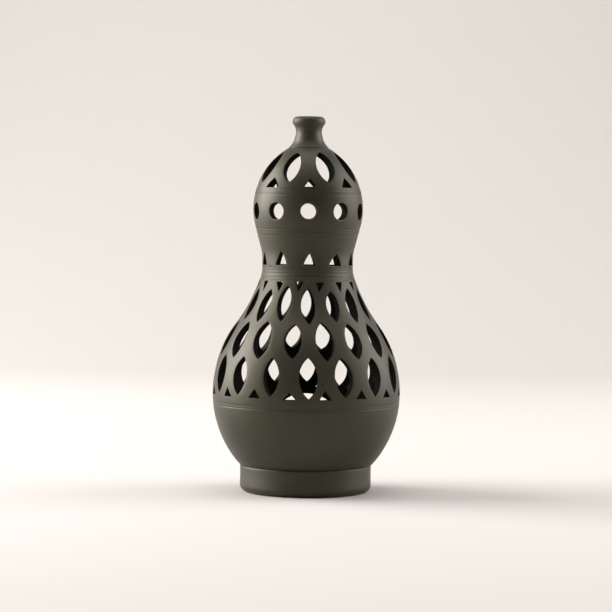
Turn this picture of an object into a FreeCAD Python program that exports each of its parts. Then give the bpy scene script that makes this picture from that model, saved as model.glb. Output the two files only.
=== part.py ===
import FreeCAD, Part

import os
import re
from math import sqrt

import Sketcher

# A pierced barro negro vessel: two gourd bulbs on a foot, raised from clay sections that are
# turned or cut apart, then luted rim to rim with slip. Each section is one body here.
# Millimetres, +Z up, origin at the centre of the foot's underside; the front of the vessel,
# where an almond of the lowest lattice row stands square, faces -Y.

Vector = FreeCAD.Vector
FRONT_PLANE = "XZ_Plane"
GROUND_PLANE = "XY_Plane"

SIZES = {
    # the whole vessel
    "stretch": (1, "multiplies every height between the ground and the neck"),
    "wall": (6, "thickness of every turned wall, square to its surface"),
    "cut_margin": (4, "how far a knife cut starts outside and ends inside the wall"),
    # foot ring and floor
    "foot_rise": (21.6, "ground to the bowl, the height of the foot ring"),
    "foot_setback": (0.5, "foot ring stands in from the bowl's lower edge"),
    "foot_wall": (8, "thickness of the foot ring"),
    "foot_round": (5.5, "rounding of the foot's lower outside edge"),
    "floor_setback": (5.9, "floor disc stands in from the bowl's lower edge"),
    "floor_thickness": (6, "the disc that closes the vessel"),
    "floor_clearance": (0.1, "slip gap round the disc"),
    # the big lower bulb
    "belly_radius": (75.2, "widest point of the lower bulb"),
    "bowl_foot_radius": (53.2, "outside of the bowl where it meets the foot"),
    "bowl_rise": (48.9, "foot to the joint between the bowl and the pierced belly"),
    "swell_rise": (8.8, "that joint to the widest point"),
    "belly_arc": (93, "profile radius above the widest point"),
    "shoulder_turn": (36.2, "angle of the belly arc before the shoulder curves back, degrees"),
    "shoulder_arc": (141, "profile radius of the hollow shoulder"),
    "belly_rise": (99.9, "height of the pierced belly"),
    # the collar at the waist
    "collar_rise": (9.6, "height of the collar"),
    "collar_arc": (27, "profile radius of the hollow collar"),
    # the small upper bulb
    "flare_rise": (13.6, "collar to the start of the cup's straight flare"),
    "cup_arc": (25.5, "profile radius where the cup opens out"),
    "cup_lean": (14.6, "lean of the straight flare, degrees"),
    "cup_rise": (28, "height of the cup"),
    "band_arc": (54, "profile radius below the widest point of the upper bulb"),
    "bulb_radius": (44, "widest point of the upper bulb"),
    "bulb_rise": (18.4, "cup to the widest point"),
    "band_rise": (31, "height of the round-hole band"),
    "dome_rise": (36, "height of the dome"),
    "crown_ledge": (3, "flat left inside the dome round the bore"),
    # neck and lip
    "neck_base_radius": (16.1, "outside of the neck where it meets the dome"),
    "taper_rise": (6.6, "height of the neck's straight taper"),
    "narrow_rise": (12.6, "dome to the narrowest point of the neck"),
    "neck_radius": (10.3, "narrowest point, outside"),
    "neck_rise": (16, "height of the neck"),
    "lip_rise": (9, "height of the lip coil"),
    "lip_radius": (13.2, "outside of the lip"),
    "lip_round": (4, "rounding of the lip's outside"),
    "bore_radius": (6.2, "mouth and bore through lip and neck"),
    # lattice of the lower bulb: each row's middle above the bowl joint, and the size of its cuts
    "lattice_count": (16, "cuts in every row of the lower bulb"),
    "seat_rise": (11.1, "upright triangles at the foot of the lattice"),
    "seat_height": (7.4, "upright triangles, base to tip"),
    "seat_width": (10.4, "upright triangles, base"),
    "low_rise": (25, "lowest almonds"),
    "low_height": (31.4, "lowest almonds, tip to tip"),
    "low_width": (14.8, "lowest almonds, across"),
    "mid_rise": (52.7, "middle almonds"),
    "mid_height": (32.4, "middle almonds, tip to tip"),
    "mid_width": (14.4, "middle almonds, across"),
    "high_rise": (80, "highest almonds"),
    "high_height": (29.6, "highest almonds, tip to tip"),
    "high_width": (11, "highest almonds, across"),
    "hang_rise": (94.3, "hanging triangles under the collar"),
    "hang_height": (9.2, "hanging triangles, base to tip"),
    "hang_width": (6.2, "hanging triangles, base"),
    # openings of the upper bulb: each row's middle above the joint under it
    "cup_count": (10, "gabled openings above the waist, and round holes"),
    "gable_rise": (7.4, "gabled openings"),
    "gable_height": (11.8, "gabled openings, sill to gable"),
    "gable_width": (9.8, "gabled openings, sill"),
    "hole_rise": (16.3, "round holes"),
    "hole_diameter": (13.8, "round holes"),
    "dome_count": (8, "wedges and petals of the dome"),
    "wedge_rise": (7, "small wedges between the petals"),
    "wedge_height": (7, "small wedges, base to tip"),
    "wedge_width": (11, "small wedges, base"),
    "petal_rise": (21.8, "petals"),
    "petal_height": (29.4, "petals, tip to tip"),
    "petal_width": (14.6, "petals, across"),
    # opening in the back of the lower bulb
    "back_rise": (35.6, "foot to the middle of the opening"),
    "back_width": (50, "the opening across"),
    "back_height": (32, "the opening upright"),
}

# places worked out from the sizes, each from those above it
PLACES = {
    "foot_height": "stretch * foot_rise",
    "bowl_joint": "foot_height + stretch * bowl_rise",
    "belly_level": "bowl_joint + stretch * swell_rise",
    "collar_low": "bowl_joint + stretch * belly_rise",
    "collar_high": "collar_low + stretch * collar_rise",
    "cup_flare": "collar_high + stretch * flare_rise",
    "cup_joint": "collar_high + stretch * cup_rise",
    "bulb_level": "cup_joint + stretch * bulb_rise",
    "band_joint": "cup_joint + stretch * band_rise",
    "neck_joint": "band_joint + stretch * dome_rise",
    "neck_taper": "neck_joint + taper_rise",
    "neck_level": "neck_joint + narrow_rise",
    "lip_joint": "neck_joint + neck_rise",
    "total_height": "lip_joint + lip_rise",
    "seat_level": "bowl_joint + stretch * seat_rise",
    "low_level": "bowl_joint + stretch * low_rise",
    "mid_level": "bowl_joint + stretch * mid_rise",
    "high_level": "bowl_joint + stretch * high_rise",
    "hang_level": "bowl_joint + stretch * hang_rise",
    "gable_level": "collar_high + stretch * gable_rise",
    "hole_level": "cup_joint + stretch * hole_rise",
    "wedge_level": "band_joint + stretch * wedge_rise",
    "petal_level": "band_joint + stretch * petal_rise",
    "back_level": "foot_height + stretch * back_rise",
    # an arc that stands upright at the widest point, drawn through a narrower place
    "bowl_arc": "((belly_level - foot_height)^2 + bowl_narrows^2) / (2 * bowl_narrows)",
    "bowl_narrows": "belly_radius - bowl_foot_radius",
    "dome_arc": "((neck_joint - bulb_level)^2 + dome_narrows^2) / (2 * dome_narrows)",
    "dome_narrows": "bulb_radius - neck_base_radius",
    "foot_radius": "bowl_foot_radius - foot_setback",
    "floor_radius": "bowl_foot_radius - floor_setback",
    # the waist stands where the cup's upright arc runs into its flare
    "flare_along": "band_arc + (cup_flare - bulb_level) * sin(cup_lean)",
    "flare_radius": "bulb_radius - band_arc + flare_along / cos(cup_lean)",
    "waist_radius": "flare_radius - cup_arc * (1 - cos(cup_lean))",
    "cup_straight": "cup_flare - cup_arc * sin(cup_lean)",
}

document = FreeCAD.newDocument("pierced_gourd_vessel")
sheet = document.addObject("Spreadsheet::Sheet", "sizes")
for row, (size_name, (value, meaning)) in enumerate(SIZES.items(), start=1):
    sheet.set(f"A{row}", size_name)
    sheet.set(f"B{row}", str(value))
    sheet.set(f"C{row}", meaning)
    sheet.setAlias(f"B{row}", size_name)
document.recompute()


def bound(formula):
    """The formula with each place written out and each size pointed at its cell in the sheet."""
    def spelled(word):
        if word[0] in PLACES:
            return f"({bound(PLACES[word[0]])})"
        return f"sizes.{word[0]}" if word[0] in SIZES else word[0]
    return re.sub(r"[a-z_]+", spelled, formula)


def measure(formula):
    """The formula's present value, used to draw an outline near its final place."""
    return float(sheet.evalExpression(bound(formula)))


# ---------------------------------------------------------------- profile formulas
# Radius of the vessel at a level. Offset 0 is the outside; offset "wall" is the inside.

def bulging(centre_r, centre_z, arc, level):
    return f"({centre_r} + sqrt(({arc})^2 - ({level} - {centre_z})^2))"


def hollowed(centre_r, centre_z, arc, level):
    return f"({centre_r} - sqrt(({arc})^2 - ({level} - {centre_z})^2))"


BOWL_CENTRE = "(belly_radius - bowl_arc)"
BELLY_CENTRE = "(belly_radius - belly_arc)"
SHOULDER_R = f"({BELLY_CENTRE} + (belly_arc + shoulder_arc) * cos(shoulder_turn))"
SHOULDER_Z = "(belly_level + (belly_arc + shoulder_arc) * sin(shoulder_turn))"
BAND_CENTRE = "(bulb_radius - band_arc)"
DOME_CENTRE = "(bulb_radius - dome_arc)"
# the lip's rounding, and the neck's hollow arc that runs into it without a corner
LIP_R = "(lip_radius - lip_round)"
LIP_Z = "(total_height - lip_round)"
NECK_ARC = (f"((neck_radius - {LIP_R})^2 + ({LIP_Z} - neck_level)^2 - lip_round^2)"
            f" / (2 * (lip_round - neck_radius + {LIP_R}))")
NECK_CENTRE = f"(neck_radius + {NECK_ARC})"


def bowl_at(level, inset="0"):
    return bulging(BOWL_CENTRE, "belly_level", f"bowl_arc - {inset}", level)


def belly_at(level, inset="0"):
    return bulging(BELLY_CENTRE, "belly_level", f"belly_arc - {inset}", level)


def shoulder_at(level, inset="0"):
    return hollowed(SHOULDER_R, SHOULDER_Z, f"shoulder_arc + {inset}", level)


def flare_at(level, inset="0"):
    along = f"(band_arc - {inset} + ({level} - bulb_level) * sin(cup_lean))"
    return f"({BAND_CENTRE} + {along} / cos(cup_lean))"


def dome_at(level, inset="0"):
    return bulging(DOME_CENTRE, "bulb_level", f"dome_arc - {inset}", level)


def neck_at(level):
    return hollowed(NECK_CENTRE, "neck_level", NECK_ARC, level)


def shoulder_start(inset="0"):
    """Where the belly arc hands over to the shoulder arc."""
    radius = f"({BELLY_CENTRE} + (belly_arc - {inset}) * cos(shoulder_turn))"
    level = f"(belly_level + (belly_arc - {inset}) * sin(shoulder_turn))"
    return radius, level


def cup_flare_start(inset="0"):
    """Where the cup's straight flare begins."""
    level = f"(cup_flare + {inset} * sin(cup_lean))"
    return flare_at(level, inset), level


def band_start(inset="0"):
    """Where the flare hands over to the round-hole band's arc."""
    radius = f"({BAND_CENTRE} + (band_arc - {inset}) * cos(cup_lean))"
    return radius, f"(bulb_level - (band_arc - {inset}) * sin(cup_lean))"


# ---------------------------------------------------------------- sketch helpers

def new_body(name):
    body = document.addObject("PartDesign::Body", name)
    body.Label = name
    return body


def new_sketch(body, name, plane_role):
    planes = [item for item in body.Origin.OriginFeatures if item.Role == plane_role]
    sketch = body.newObject("Sketcher::SketchObject", name)
    sketch.AttachmentSupport = [(planes[0], "")]
    sketch.MapMode = "FlatFace"
    return sketch


def drive(sketch, name, formula, kind, *geometry):
    """Add a dimension with a name of its own and bind it to the sheet."""
    index = sketch.addConstraint(Sketcher.Constraint(kind, *geometry, measure(formula)))
    sketch.renameConstraint(index, name)
    sketch.setExpression(f"Constraints.{name}", bound(formula))


def arc_between(start, end, radius, bulge):
    """The minor arc from start to end; bulge 1 has the outline's centre on the left."""
    half = (end - start) / 2
    reach = sqrt(max(radius ** 2 - half.Length ** 2, 0))
    across = Vector(-half.y, half.x, 0).normalize() * bulge
    centre = start + half + across * reach
    crown = centre - across * radius
    return Part.Arc(start, crown, end)


def draw_outline(sketch, corners):
    """
    Draw a closed outline. Each corner is (name, radius formula, level formula, edge), where edge
    leads to the next corner: None for a straight line, or (bulge, arc radius formula).
    """
    places = [Vector(measure(radius), measure(level), 0) for _, radius, level, _ in corners]
    for index, (_, _, _, edge) in enumerate(corners):
        start, end = places[index], places[(index + 1) % len(places)]
        if edge is None:
            sketch.addGeometry(Part.LineSegment(start, end), False)
        else:
            sketch.addGeometry(arc_between(start, end, measure(edge[1]), edge[0]), False)
    # an arc drawn clockwise is stored the other way round, so each end is looked up
    ends = []
    for index, place in enumerate(places):
        to_first = (sketch.getPoint(index, 1) - place).Length
        to_second = (sketch.getPoint(index, 2) - place).Length
        ends.append((1, 2) if to_first < to_second else (2, 1))
    for index in range(len(corners)):
        following = (index + 1) % len(corners)
        sketch.addConstraint(Sketcher.Constraint(
            "Coincident", index, ends[index][1], following, ends[following][0]))
    for index, (name, radius, level, edge) in enumerate(corners):
        drive(sketch, name + "_radius", radius, "DistanceX", -1, 1, index, ends[index][0])
        drive(sketch, name + "_level", level, "DistanceY", -1, 1, index, ends[index][0])
        if edge is not None:
            drive(sketch, name + "_arc", edge[1], "Radius", index)


def turned(name, corners):
    """A body turned about the vessel's axis from one closed outline."""
    body = new_body(name)
    sketch = new_sketch(body, name + "_profile", FRONT_PLANE)
    draw_outline(sketch, corners)
    turn = body.newObject("PartDesign::Revolution", name + "_turned")
    turn.Profile = sketch
    turn.ReferenceAxis = (sketch, ["V_Axis"])
    turn.Angle = 360
    document.recompute()
    return body, sketch


# ---------------------------------------------------------------- knife cuts

def draw_almond(sketch, height, width):
    """Two equal arcs that meet in a point above and below."""
    tall, broad = measure(height), measure(width)
    low, high = Vector(0, -tall / 2, 0), Vector(0, tall / 2, 0)
    sketch.addGeometry(Part.Arc(low, Vector(broad / 2, 0, 0), high), False)
    sketch.addGeometry(Part.Arc(high, Vector(-broad / 2, 0, 0), low), False)
    sketch.addConstraint(Sketcher.Constraint("Coincident", 0, 1, 1, 2))
    sketch.addConstraint(Sketcher.Constraint("Coincident", 0, 2, 1, 1))
    sketch.addConstraint(Sketcher.Constraint("PointOnObject", 0, 1, -2))
    sketch.addConstraint(Sketcher.Constraint("PointOnObject", 0, 2, -2))
    sketch.addConstraint(Sketcher.Constraint("PointOnObject", 0, 3, -1))
    sketch.addConstraint(Sketcher.Constraint("Equal", 0, 1))
    drive(sketch, "tip_to_tip", height, "DistanceY", 0, 1, 0, 2)
    drive(sketch, "side_arc", f"(({height})^2 + {width}^2) / (4 * {width})", "Radius", 0)


def draw_triangle(sketch, height, width, upright=True):
    """An isosceles triangle about mid height, standing on its base or hanging from it."""
    up = 1 if upright else -1
    tall, broad = measure(height) * up, measure(width)
    left, right = Vector(-broad / 2, -tall / 2, 0), Vector(broad / 2, -tall / 2, 0)
    tip = Vector(0, tall / 2, 0)
    for start, end in ((left, right), (right, tip), (tip, left)):
        sketch.addGeometry(Part.LineSegment(start, end), False)
    for index in range(3):
        sketch.addConstraint(Sketcher.Constraint("Coincident", index, 2, (index + 1) % 3, 1))
    sketch.addConstraint(Sketcher.Constraint("PointOnObject", 1, 2, -2))
    sketch.addConstraint(Sketcher.Constraint("Symmetric", 0, 1, 0, 2, -2))
    drive(sketch, "base", width, "Distance", 0)
    low, high = ((0, 1), (1, 2)) if upright else ((1, 2), (0, 1))
    drive(sketch, "rise", height, "DistanceY", *low, *high)
    drive(sketch, "half_rise", f"{height} / 2", "DistanceY", *low, -1, 1)


def draw_circle(sketch, name, diameter):
    """A circle about the sketch's origin."""
    circle = sketch.addGeometry(Part.Circle(Vector(0, 0, 0), Vector(0, 0, 1), measure(diameter) / 2), False)
    sketch.addConstraint(Sketcher.Constraint("Coincident", circle, 3, -1, 1))
    drive(sketch, name, diameter, "Diameter", circle)


# a row of cuts may remove this share more or less than one cut times their number
ROW_TOLERANCE = 0.02


def pierce(body, profile, name, count, half_step, radius, level, lean, draw, *shape):
    """
    Cut one opening square through the wall and repeat it round the axis. The knife enters at
    the given level, where the wall has this outside radius and leans this many degrees.
    """
    before = body.Shape.Volume
    start = f"180 / {count}" if half_step else "0"
    reach = f"({radius} + cut_margin * cos({lean}))"
    spot = f"vector({reach} * sin({start}); {level} + cut_margin * sin({lean}); {reach} * cos({start}))"
    facing = f"rotation(vector(0; 1; 0); {start}) * rotation(vector(1; 0; 0); -({lean}))"
    sketch = new_sketch(body, name + "_outline", FRONT_PLANE)
    sketch.setExpression("AttachmentOffset", bound(f"placement({spot}; {facing})"))
    draw(sketch, *shape)
    document.recompute()
    cut = body.newObject("PartDesign::Pocket", name + "_cut")
    cut.Profile = sketch
    cut.setExpression("Length", bound("wall + 2 * cut_margin"))
    around = body.newObject("PartDesign::PolarPattern", name)
    around.Originals = [cut]
    around.Axis = (profile, ["V_Axis"])
    around.Angle = 360
    around.setExpression("Occurrences", bound(count))
    body.Tip = around
    document.recompute()
    single = before - cut.Shape.Volume
    removed = before - body.Shape.Volume
    if single <= 0 or abs(removed - single * measure(count)) > ROW_TOLERANCE * removed:
        raise ValueError(f"{name}: the row does not cut {count} equal openings")


def open_back(body, name):
    """The oval opening through the back wall, cut straight towards +Y."""
    before = body.Shape.Volume
    sketch = new_sketch(body, name + "_outline", FRONT_PLANE)
    sketch.setExpression("AttachmentOffset.Base.y", bound("back_level"))
    half_wide, half_tall = measure("back_width / 2"), measure("stretch * back_height / 2")
    oval = Part.Ellipse(Vector(half_wide, 0, 0), Vector(0, half_tall, 0), Vector(0, 0, 0))
    sketch.addGeometry(oval, False)
    sketch.exposeInternalGeometry(0)
    sketch.addConstraint(Sketcher.Constraint("Coincident", 0, 3, -1, 1))
    sketch.addConstraint(Sketcher.Constraint("Horizontal", 1))
    drive(sketch, "across", "back_width", "Distance", 1)
    drive(sketch, "upright", "stretch * back_height", "Distance", 2)
    document.recompute()
    cut = body.newObject("PartDesign::Pocket", name)
    cut.Profile = sketch
    cut.setExpression("Length", bound("belly_radius + cut_margin"))
    body.Tip = cut
    document.recompute()
    if before - body.Shape.Volume <= 0:
        raise ValueError(f"{name}: the back opening cuts nothing")


# ---------------------------------------------------------------- foot ring
# A thick coil under the bowl: open inside, flat below, its lower outside edge rounded off.

foot_ring = new_body("foot_ring")
foot_sketch = new_sketch(foot_ring, "foot_ring_plan", GROUND_PLANE)
draw_circle(foot_sketch, "outside", "2 * foot_radius")
draw_circle(foot_sketch, "inside", "2 * (foot_radius - foot_wall)")
foot_pad = foot_ring.newObject("PartDesign::Pad", "foot_ring_raised")
foot_pad.Profile = foot_sketch
foot_pad.setExpression("Length", bound("foot_height"))
document.recompute()


TOUCHING = 0.001


def is_lower_outside(edge):
    if edge.CenterOfMass.z > TOUCHING or not hasattr(edge.Curve, "Radius"):
        return False
    return abs(edge.Curve.Radius - measure("foot_radius")) < TOUCHING


foot_fillet = foot_ring.newObject("PartDesign::Fillet", "foot_ring_rounded")
foot_edges = enumerate(foot_pad.Shape.Edges, start=1)
foot_fillet.Base = (foot_pad, [f"Edge{index}" for index, edge in foot_edges if is_lower_outside(edge)])
foot_fillet.setExpression("Radius", bound("foot_round"))
foot_ring.Tip = foot_fillet

# ---------------------------------------------------------------- floor disc
# The slab that closes the vessel. It lies on the foot ring, inside the bowl's lower edge.

floor_disc = new_body("floor_disc")
floor_sketch = new_sketch(floor_disc, "floor_disc_plan", GROUND_PLANE)
floor_sketch.setExpression("AttachmentOffset.Base.z", bound("foot_height"))
draw_circle(floor_sketch, "edge", "2 * floor_radius")
floor_pad = floor_disc.newObject("PartDesign::Pad", "floor_disc_raised")
floor_pad.Profile = floor_sketch
floor_pad.setExpression("Length", bound("floor_thickness"))

# ---------------------------------------------------------------- lower bowl
# The plain half of the big bulb. Its lower edge is thicker, round the floor disc.

FLOOR_TOP = "(foot_height + floor_thickness)"
FLOOR_SEAT = "(floor_radius + floor_clearance)"
lower_bowl, _ = turned("lower_bowl", [
    ("foot_edge", bowl_at("foot_height"), "foot_height", (1, "bowl_arc")),
    ("joint_out", bowl_at("bowl_joint"), "bowl_joint", None),
    ("joint_in", bowl_at("bowl_joint", "wall"), "bowl_joint", (-1, "bowl_arc - wall")),
    ("ledge_out", bowl_at(FLOOR_TOP, "wall"), FLOOR_TOP, None),
    ("ledge_in", FLOOR_SEAT, FLOOR_TOP, None),
    ("seat", FLOOR_SEAT, "foot_height", None),
])
open_back(lower_bowl, "back_opening")

# ---------------------------------------------------------------- pierced belly
# The upper half of the big bulb, drawn in to the shoulder and cut into a lattice.

START_OUT = shoulder_start()
START_IN = shoulder_start("wall")
pierced_belly, belly_profile = turned("pierced_belly", [
    ("joint_out", bowl_at("bowl_joint"), "bowl_joint", (1, "bowl_arc")),
    ("widest_out", "belly_radius", "belly_level", (1, "belly_arc")),
    ("shoulder_out", *START_OUT, (-1, "shoulder_arc")),
    ("collar_out", shoulder_at("collar_low"), "collar_low", None),
    ("collar_in", shoulder_at("collar_low", "wall"), "collar_low", (1, "shoulder_arc + wall")),
    ("shoulder_in", *START_IN, (-1, "belly_arc - wall")),
    ("widest_in", "(belly_radius - wall)", "belly_level", (-1, "bowl_arc - wall")),
    ("joint_in", bowl_at("bowl_joint", "wall"), "bowl_joint", None),
])
open_back(pierced_belly, "back_opening_crown")


def belly_lean(level):
    return f"asin(({level} - belly_level) / belly_arc)"


def shoulder_lean(level):
    return f"asin(({SHOULDER_Z} - {level}) / shoulder_arc)"


pierce(pierced_belly, belly_profile, "seat_triangles", "lattice_count", True,
       bowl_at("seat_level"), "seat_level", "0", draw_triangle, "stretch * seat_height", "seat_width")
pierce(pierced_belly, belly_profile, "low_almonds", "lattice_count", False,
       belly_at("low_level"), "low_level", belly_lean("low_level"),
       draw_almond, "stretch * low_height", "low_width")
pierce(pierced_belly, belly_profile, "middle_almonds", "lattice_count", True,
       belly_at("mid_level"), "mid_level", belly_lean("mid_level"),
       draw_almond, "stretch * mid_height", "mid_width")
pierce(pierced_belly, belly_profile, "high_almonds", "lattice_count", False,
       shoulder_at("high_level"), "high_level", shoulder_lean("high_level"),
       draw_almond, "stretch * high_height", "high_width")
pierce(pierced_belly, belly_profile, "hanging_triangles", "lattice_count", True,
       shoulder_at("hang_level"), "hang_level", shoulder_lean("hang_level"),
       draw_triangle, "stretch * hang_height", "hang_width", False)

# ---------------------------------------------------------------- waist collar
# The plain hollow band that ties the two bulbs together.

waist_collar, _ = turned("waist_collar", [
    ("low_out", shoulder_at("collar_low"), "collar_low", (-1, "collar_arc")),
    ("high_out", "waist_radius", "collar_high", None),
    ("high_in", "(waist_radius - wall)", "collar_high", (1, "collar_arc + wall")),
    ("low_in", shoulder_at("collar_low", "wall"), "collar_low", None),
])

# ---------------------------------------------------------------- upper cup
# Rises straight from the waist, then flares; ten gabled openings stand on the collar's line.

upper_cup, cup_profile = turned("upper_cup", [
    ("waist_out", "waist_radius", "collar_high", None),
    ("straight_out", "waist_radius", "cup_straight", (-1, "cup_arc")),
    ("flare_out", *cup_flare_start(), None),
    ("joint_out", flare_at("cup_joint"), "cup_joint", None),
    ("joint_in", flare_at("cup_joint", "wall"), "cup_joint", None),
    ("flare_in", *cup_flare_start("wall"), (1, "cup_arc + wall")),
    ("straight_in", "(waist_radius - wall)", "cup_straight", None),
    ("waist_in", "(waist_radius - wall)", "collar_high", None),
])
pierce(upper_cup, cup_profile, "gable_openings", "cup_count", False,
       "waist_radius", "gable_level", "0", draw_triangle, "stretch * gable_height", "gable_width")

# ---------------------------------------------------------------- round-hole band
# The widest course of the upper bulb, with a ring of round holes.

BAND_OUT = band_start()
BAND_IN = band_start("wall")
round_hole_band, band_profile = turned("round_hole_band", [
    ("cup_out", flare_at("cup_joint"), "cup_joint", None),
    ("flare_out", *BAND_OUT, (1, "band_arc")),
    ("widest_out", "bulb_radius", "bulb_level", (1, "dome_arc")),
    ("joint_out", dome_at("band_joint"), "band_joint", None),
    ("joint_in", dome_at("band_joint", "wall"), "band_joint", (-1, "dome_arc - wall")),
    ("widest_in", "(bulb_radius - wall)", "bulb_level", (-1, "band_arc - wall")),
    ("flare_in", *BAND_IN, None),
    ("cup_in", flare_at("cup_joint", "wall"), "cup_joint", None),
])
pierce(round_hole_band, band_profile, "round_holes", "cup_count", False,
       "bulb_radius", "hole_level", "0", draw_circle, "across", "hole_diameter")

# ---------------------------------------------------------------- petal dome
# The crown of the upper bulb: small triangles below, tall petals between them.

LEDGE_RADIUS = "(bore_radius + crown_ledge)"
LEDGE_LEVEL = f"(bulb_level + sqrt((dome_arc - wall)^2 - ({LEDGE_RADIUS} - {DOME_CENTRE})^2))"
petal_dome, dome_profile = turned("petal_dome", [
    ("band_out", dome_at("band_joint"), "band_joint", (1, "dome_arc")),
    ("neck_out", dome_at("neck_joint"), "neck_joint", None),
    ("neck_in", "bore_radius", "neck_joint", None),
    ("bore_in", "bore_radius", LEDGE_LEVEL, None),
    ("ledge_in", LEDGE_RADIUS, LEDGE_LEVEL, (-1, "dome_arc - wall")),
    ("band_in", dome_at("band_joint", "wall"), "band_joint", None),
])


def dome_lean(level):
    return f"asin(({level} - bulb_level) / dome_arc)"


pierce(petal_dome, dome_profile, "wedge_openings", "dome_count", False,
       dome_at("wedge_level"), "wedge_level", dome_lean("wedge_level"),
       draw_triangle, "stretch * wedge_height", "wedge_width")
pierce(petal_dome, dome_profile, "petals", "dome_count", True,
       dome_at("petal_level"), "petal_level", dome_lean("petal_level"),
       draw_almond, "stretch * petal_height", "petal_width")

# ---------------------------------------------------------------- neck and lip
# A drawn-in neck, and the coil that makes the flared, rolled lip.

neck, _ = turned("neck", [
    ("dome_out", dome_at("neck_joint"), "neck_joint", None),
    ("taper_out", neck_at("neck_taper"), "neck_taper", (-1, NECK_ARC)),
    ("lip_out", neck_at("lip_joint"), "lip_joint", None),
    ("lip_in", "bore_radius", "lip_joint", None),
    ("dome_in", "bore_radius", "neck_joint", None),
])

LIP_SHARE = f"(lip_round / ({NECK_ARC} + lip_round))"
MOUTH_ROUND = f"({LIP_R} - bore_radius)"
lip_ring, _ = turned("lip_ring", [
    ("neck_out", neck_at("lip_joint"), "lip_joint", (-1, NECK_ARC)),
    ("roll_out", f"({LIP_R} + ({NECK_CENTRE} - {LIP_R}) * {LIP_SHARE})",
     f"({LIP_Z} + (neck_level - {LIP_Z}) * {LIP_SHARE})", (1, "lip_round")),
    ("crest", LIP_R, "total_height", (1, MOUTH_ROUND)),
    ("mouth", "bore_radius", f"(total_height - {MOUTH_ROUND})", None),
    ("neck_in", "bore_radius", "lip_joint", None),
])

# ---------------------------------------------------------------- checks and files

document.recompute()
for item in document.Objects:
    faults = [state for state in item.State if state in ("Invalid", "Error")]
    if faults:
        raise ValueError(f"{item.Name} failed: {faults}")

SECTIONS = (foot_ring, floor_disc, lower_bowl, pierced_belly, waist_collar,
            upper_cup, round_hole_band, petal_dome, neck, lip_ring)
for section in SECTIONS:
    shape = section.Shape
    if shape.isNull() or not shape.isValid() or len(shape.Solids) != 1:
        raise ValueError(f"{section.Label} is not one valid solid")

os.makedirs("parts", exist_ok=True)
for section in SECTIONS:
    section.Shape.exportStep(f"parts/{section.Label}.step")
    box = section.Shape.optimalBoundingBox()
    print(f"{section.Label}: radius {box.XMax:.2f}, {box.ZMin:.2f} to {box.ZMax:.2f} mm,",
          f"{section.Shape.Volume / 1000:.1f} cm3")
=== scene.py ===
import random
from math import asin, atan2, cos, degrees, exp, hypot, pi, radians, sin, sqrt

import bmesh
import bpy
from mathutils import Matrix, Vector


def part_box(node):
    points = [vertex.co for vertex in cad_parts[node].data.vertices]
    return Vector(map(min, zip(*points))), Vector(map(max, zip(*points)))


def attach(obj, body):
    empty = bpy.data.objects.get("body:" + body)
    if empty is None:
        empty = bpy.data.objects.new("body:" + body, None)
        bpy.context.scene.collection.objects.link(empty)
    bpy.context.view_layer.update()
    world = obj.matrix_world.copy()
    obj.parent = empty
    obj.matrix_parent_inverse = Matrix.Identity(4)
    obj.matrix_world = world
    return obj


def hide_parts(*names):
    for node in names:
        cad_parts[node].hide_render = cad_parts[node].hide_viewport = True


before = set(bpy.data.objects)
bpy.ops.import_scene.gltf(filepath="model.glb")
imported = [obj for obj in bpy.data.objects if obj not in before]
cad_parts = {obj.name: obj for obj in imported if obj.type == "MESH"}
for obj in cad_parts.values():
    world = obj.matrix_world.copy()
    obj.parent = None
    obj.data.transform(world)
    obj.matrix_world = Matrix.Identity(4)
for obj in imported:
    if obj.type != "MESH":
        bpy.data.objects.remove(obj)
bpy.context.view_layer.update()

# ------------------------------------------------------------------ foot ring
# A thick coil of clay thrown under the bowl and joined to it with slip. Burnished with a smooth
# stone before a smoky firing turns it black; its ground edge is rounded.

MM = 0.001
SPIN_STEPS = 128
# points closer together than this, in millimetres, count as one
WELD = 0.01
CLAY_SPECULAR_TINT = (1.0, 0.95, 0.78, 1)


def new_group(name, inputs, outputs):
    """A shader node group with float inputs (name, default) and float outputs."""
    group = bpy.data.node_groups.new(name, "ShaderNodeTree")
    for title, value in inputs:
        socket = group.interface.new_socket(title, in_out="INPUT", socket_type="NodeSocketFloat")
        socket.default_value = value
    for title in outputs:
        group.interface.new_socket(title, in_out="OUTPUT", socket_type="NodeSocketFloat")
    given = group.nodes.new("NodeGroupInput").outputs
    return group, given, group.nodes.new("NodeGroupOutput").inputs


def add(tree, kind, feeds, **settings):
    """Add a node, set its properties, and feed its inputs with sockets or plain values."""
    node = tree.nodes.new("ShaderNode" + kind)
    for title, value in settings.items():
        setattr(node, title, value)
    for title, value in feeds.items():
        if isinstance(value, bpy.types.NodeSocket):
            tree.links.new(value, node.inputs[title])
        else:
            node.inputs[title].default_value = value
    return node


def stretched(tree, stretch):
    """The piece's own coordinates, in metres, stretched before a texture reads them."""
    place = tree.nodes.new("ShaderNodeTexCoord").outputs["Object"]
    return add(tree, "VectorMath", {0: place, 1: stretch}, operation="MULTIPLY").outputs[0]


def noise_of(tree, stretch, detail, roughness=0.55, distortion=0.0):
    """Noise that reads the piece's own coordinates; stretch is its scale per metre."""
    feeds = {"Vector": stretched(tree, stretch), "Scale": 1.0, "Detail": detail,
             "Roughness": roughness, "Distortion": distortion}
    return add(tree, "TexNoise", feeds).outputs["Fac"]


def remapped(tree, value, low, high, to_low=0.0, to_high=1.0):
    """A value stretched from one range to another."""
    feeds = {"Value": value, "From Min": low, "From Max": high,
             "To Min": to_low, "To Max": to_high}
    return add(tree, "MapRange", feeds).outputs["Result"]


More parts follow.
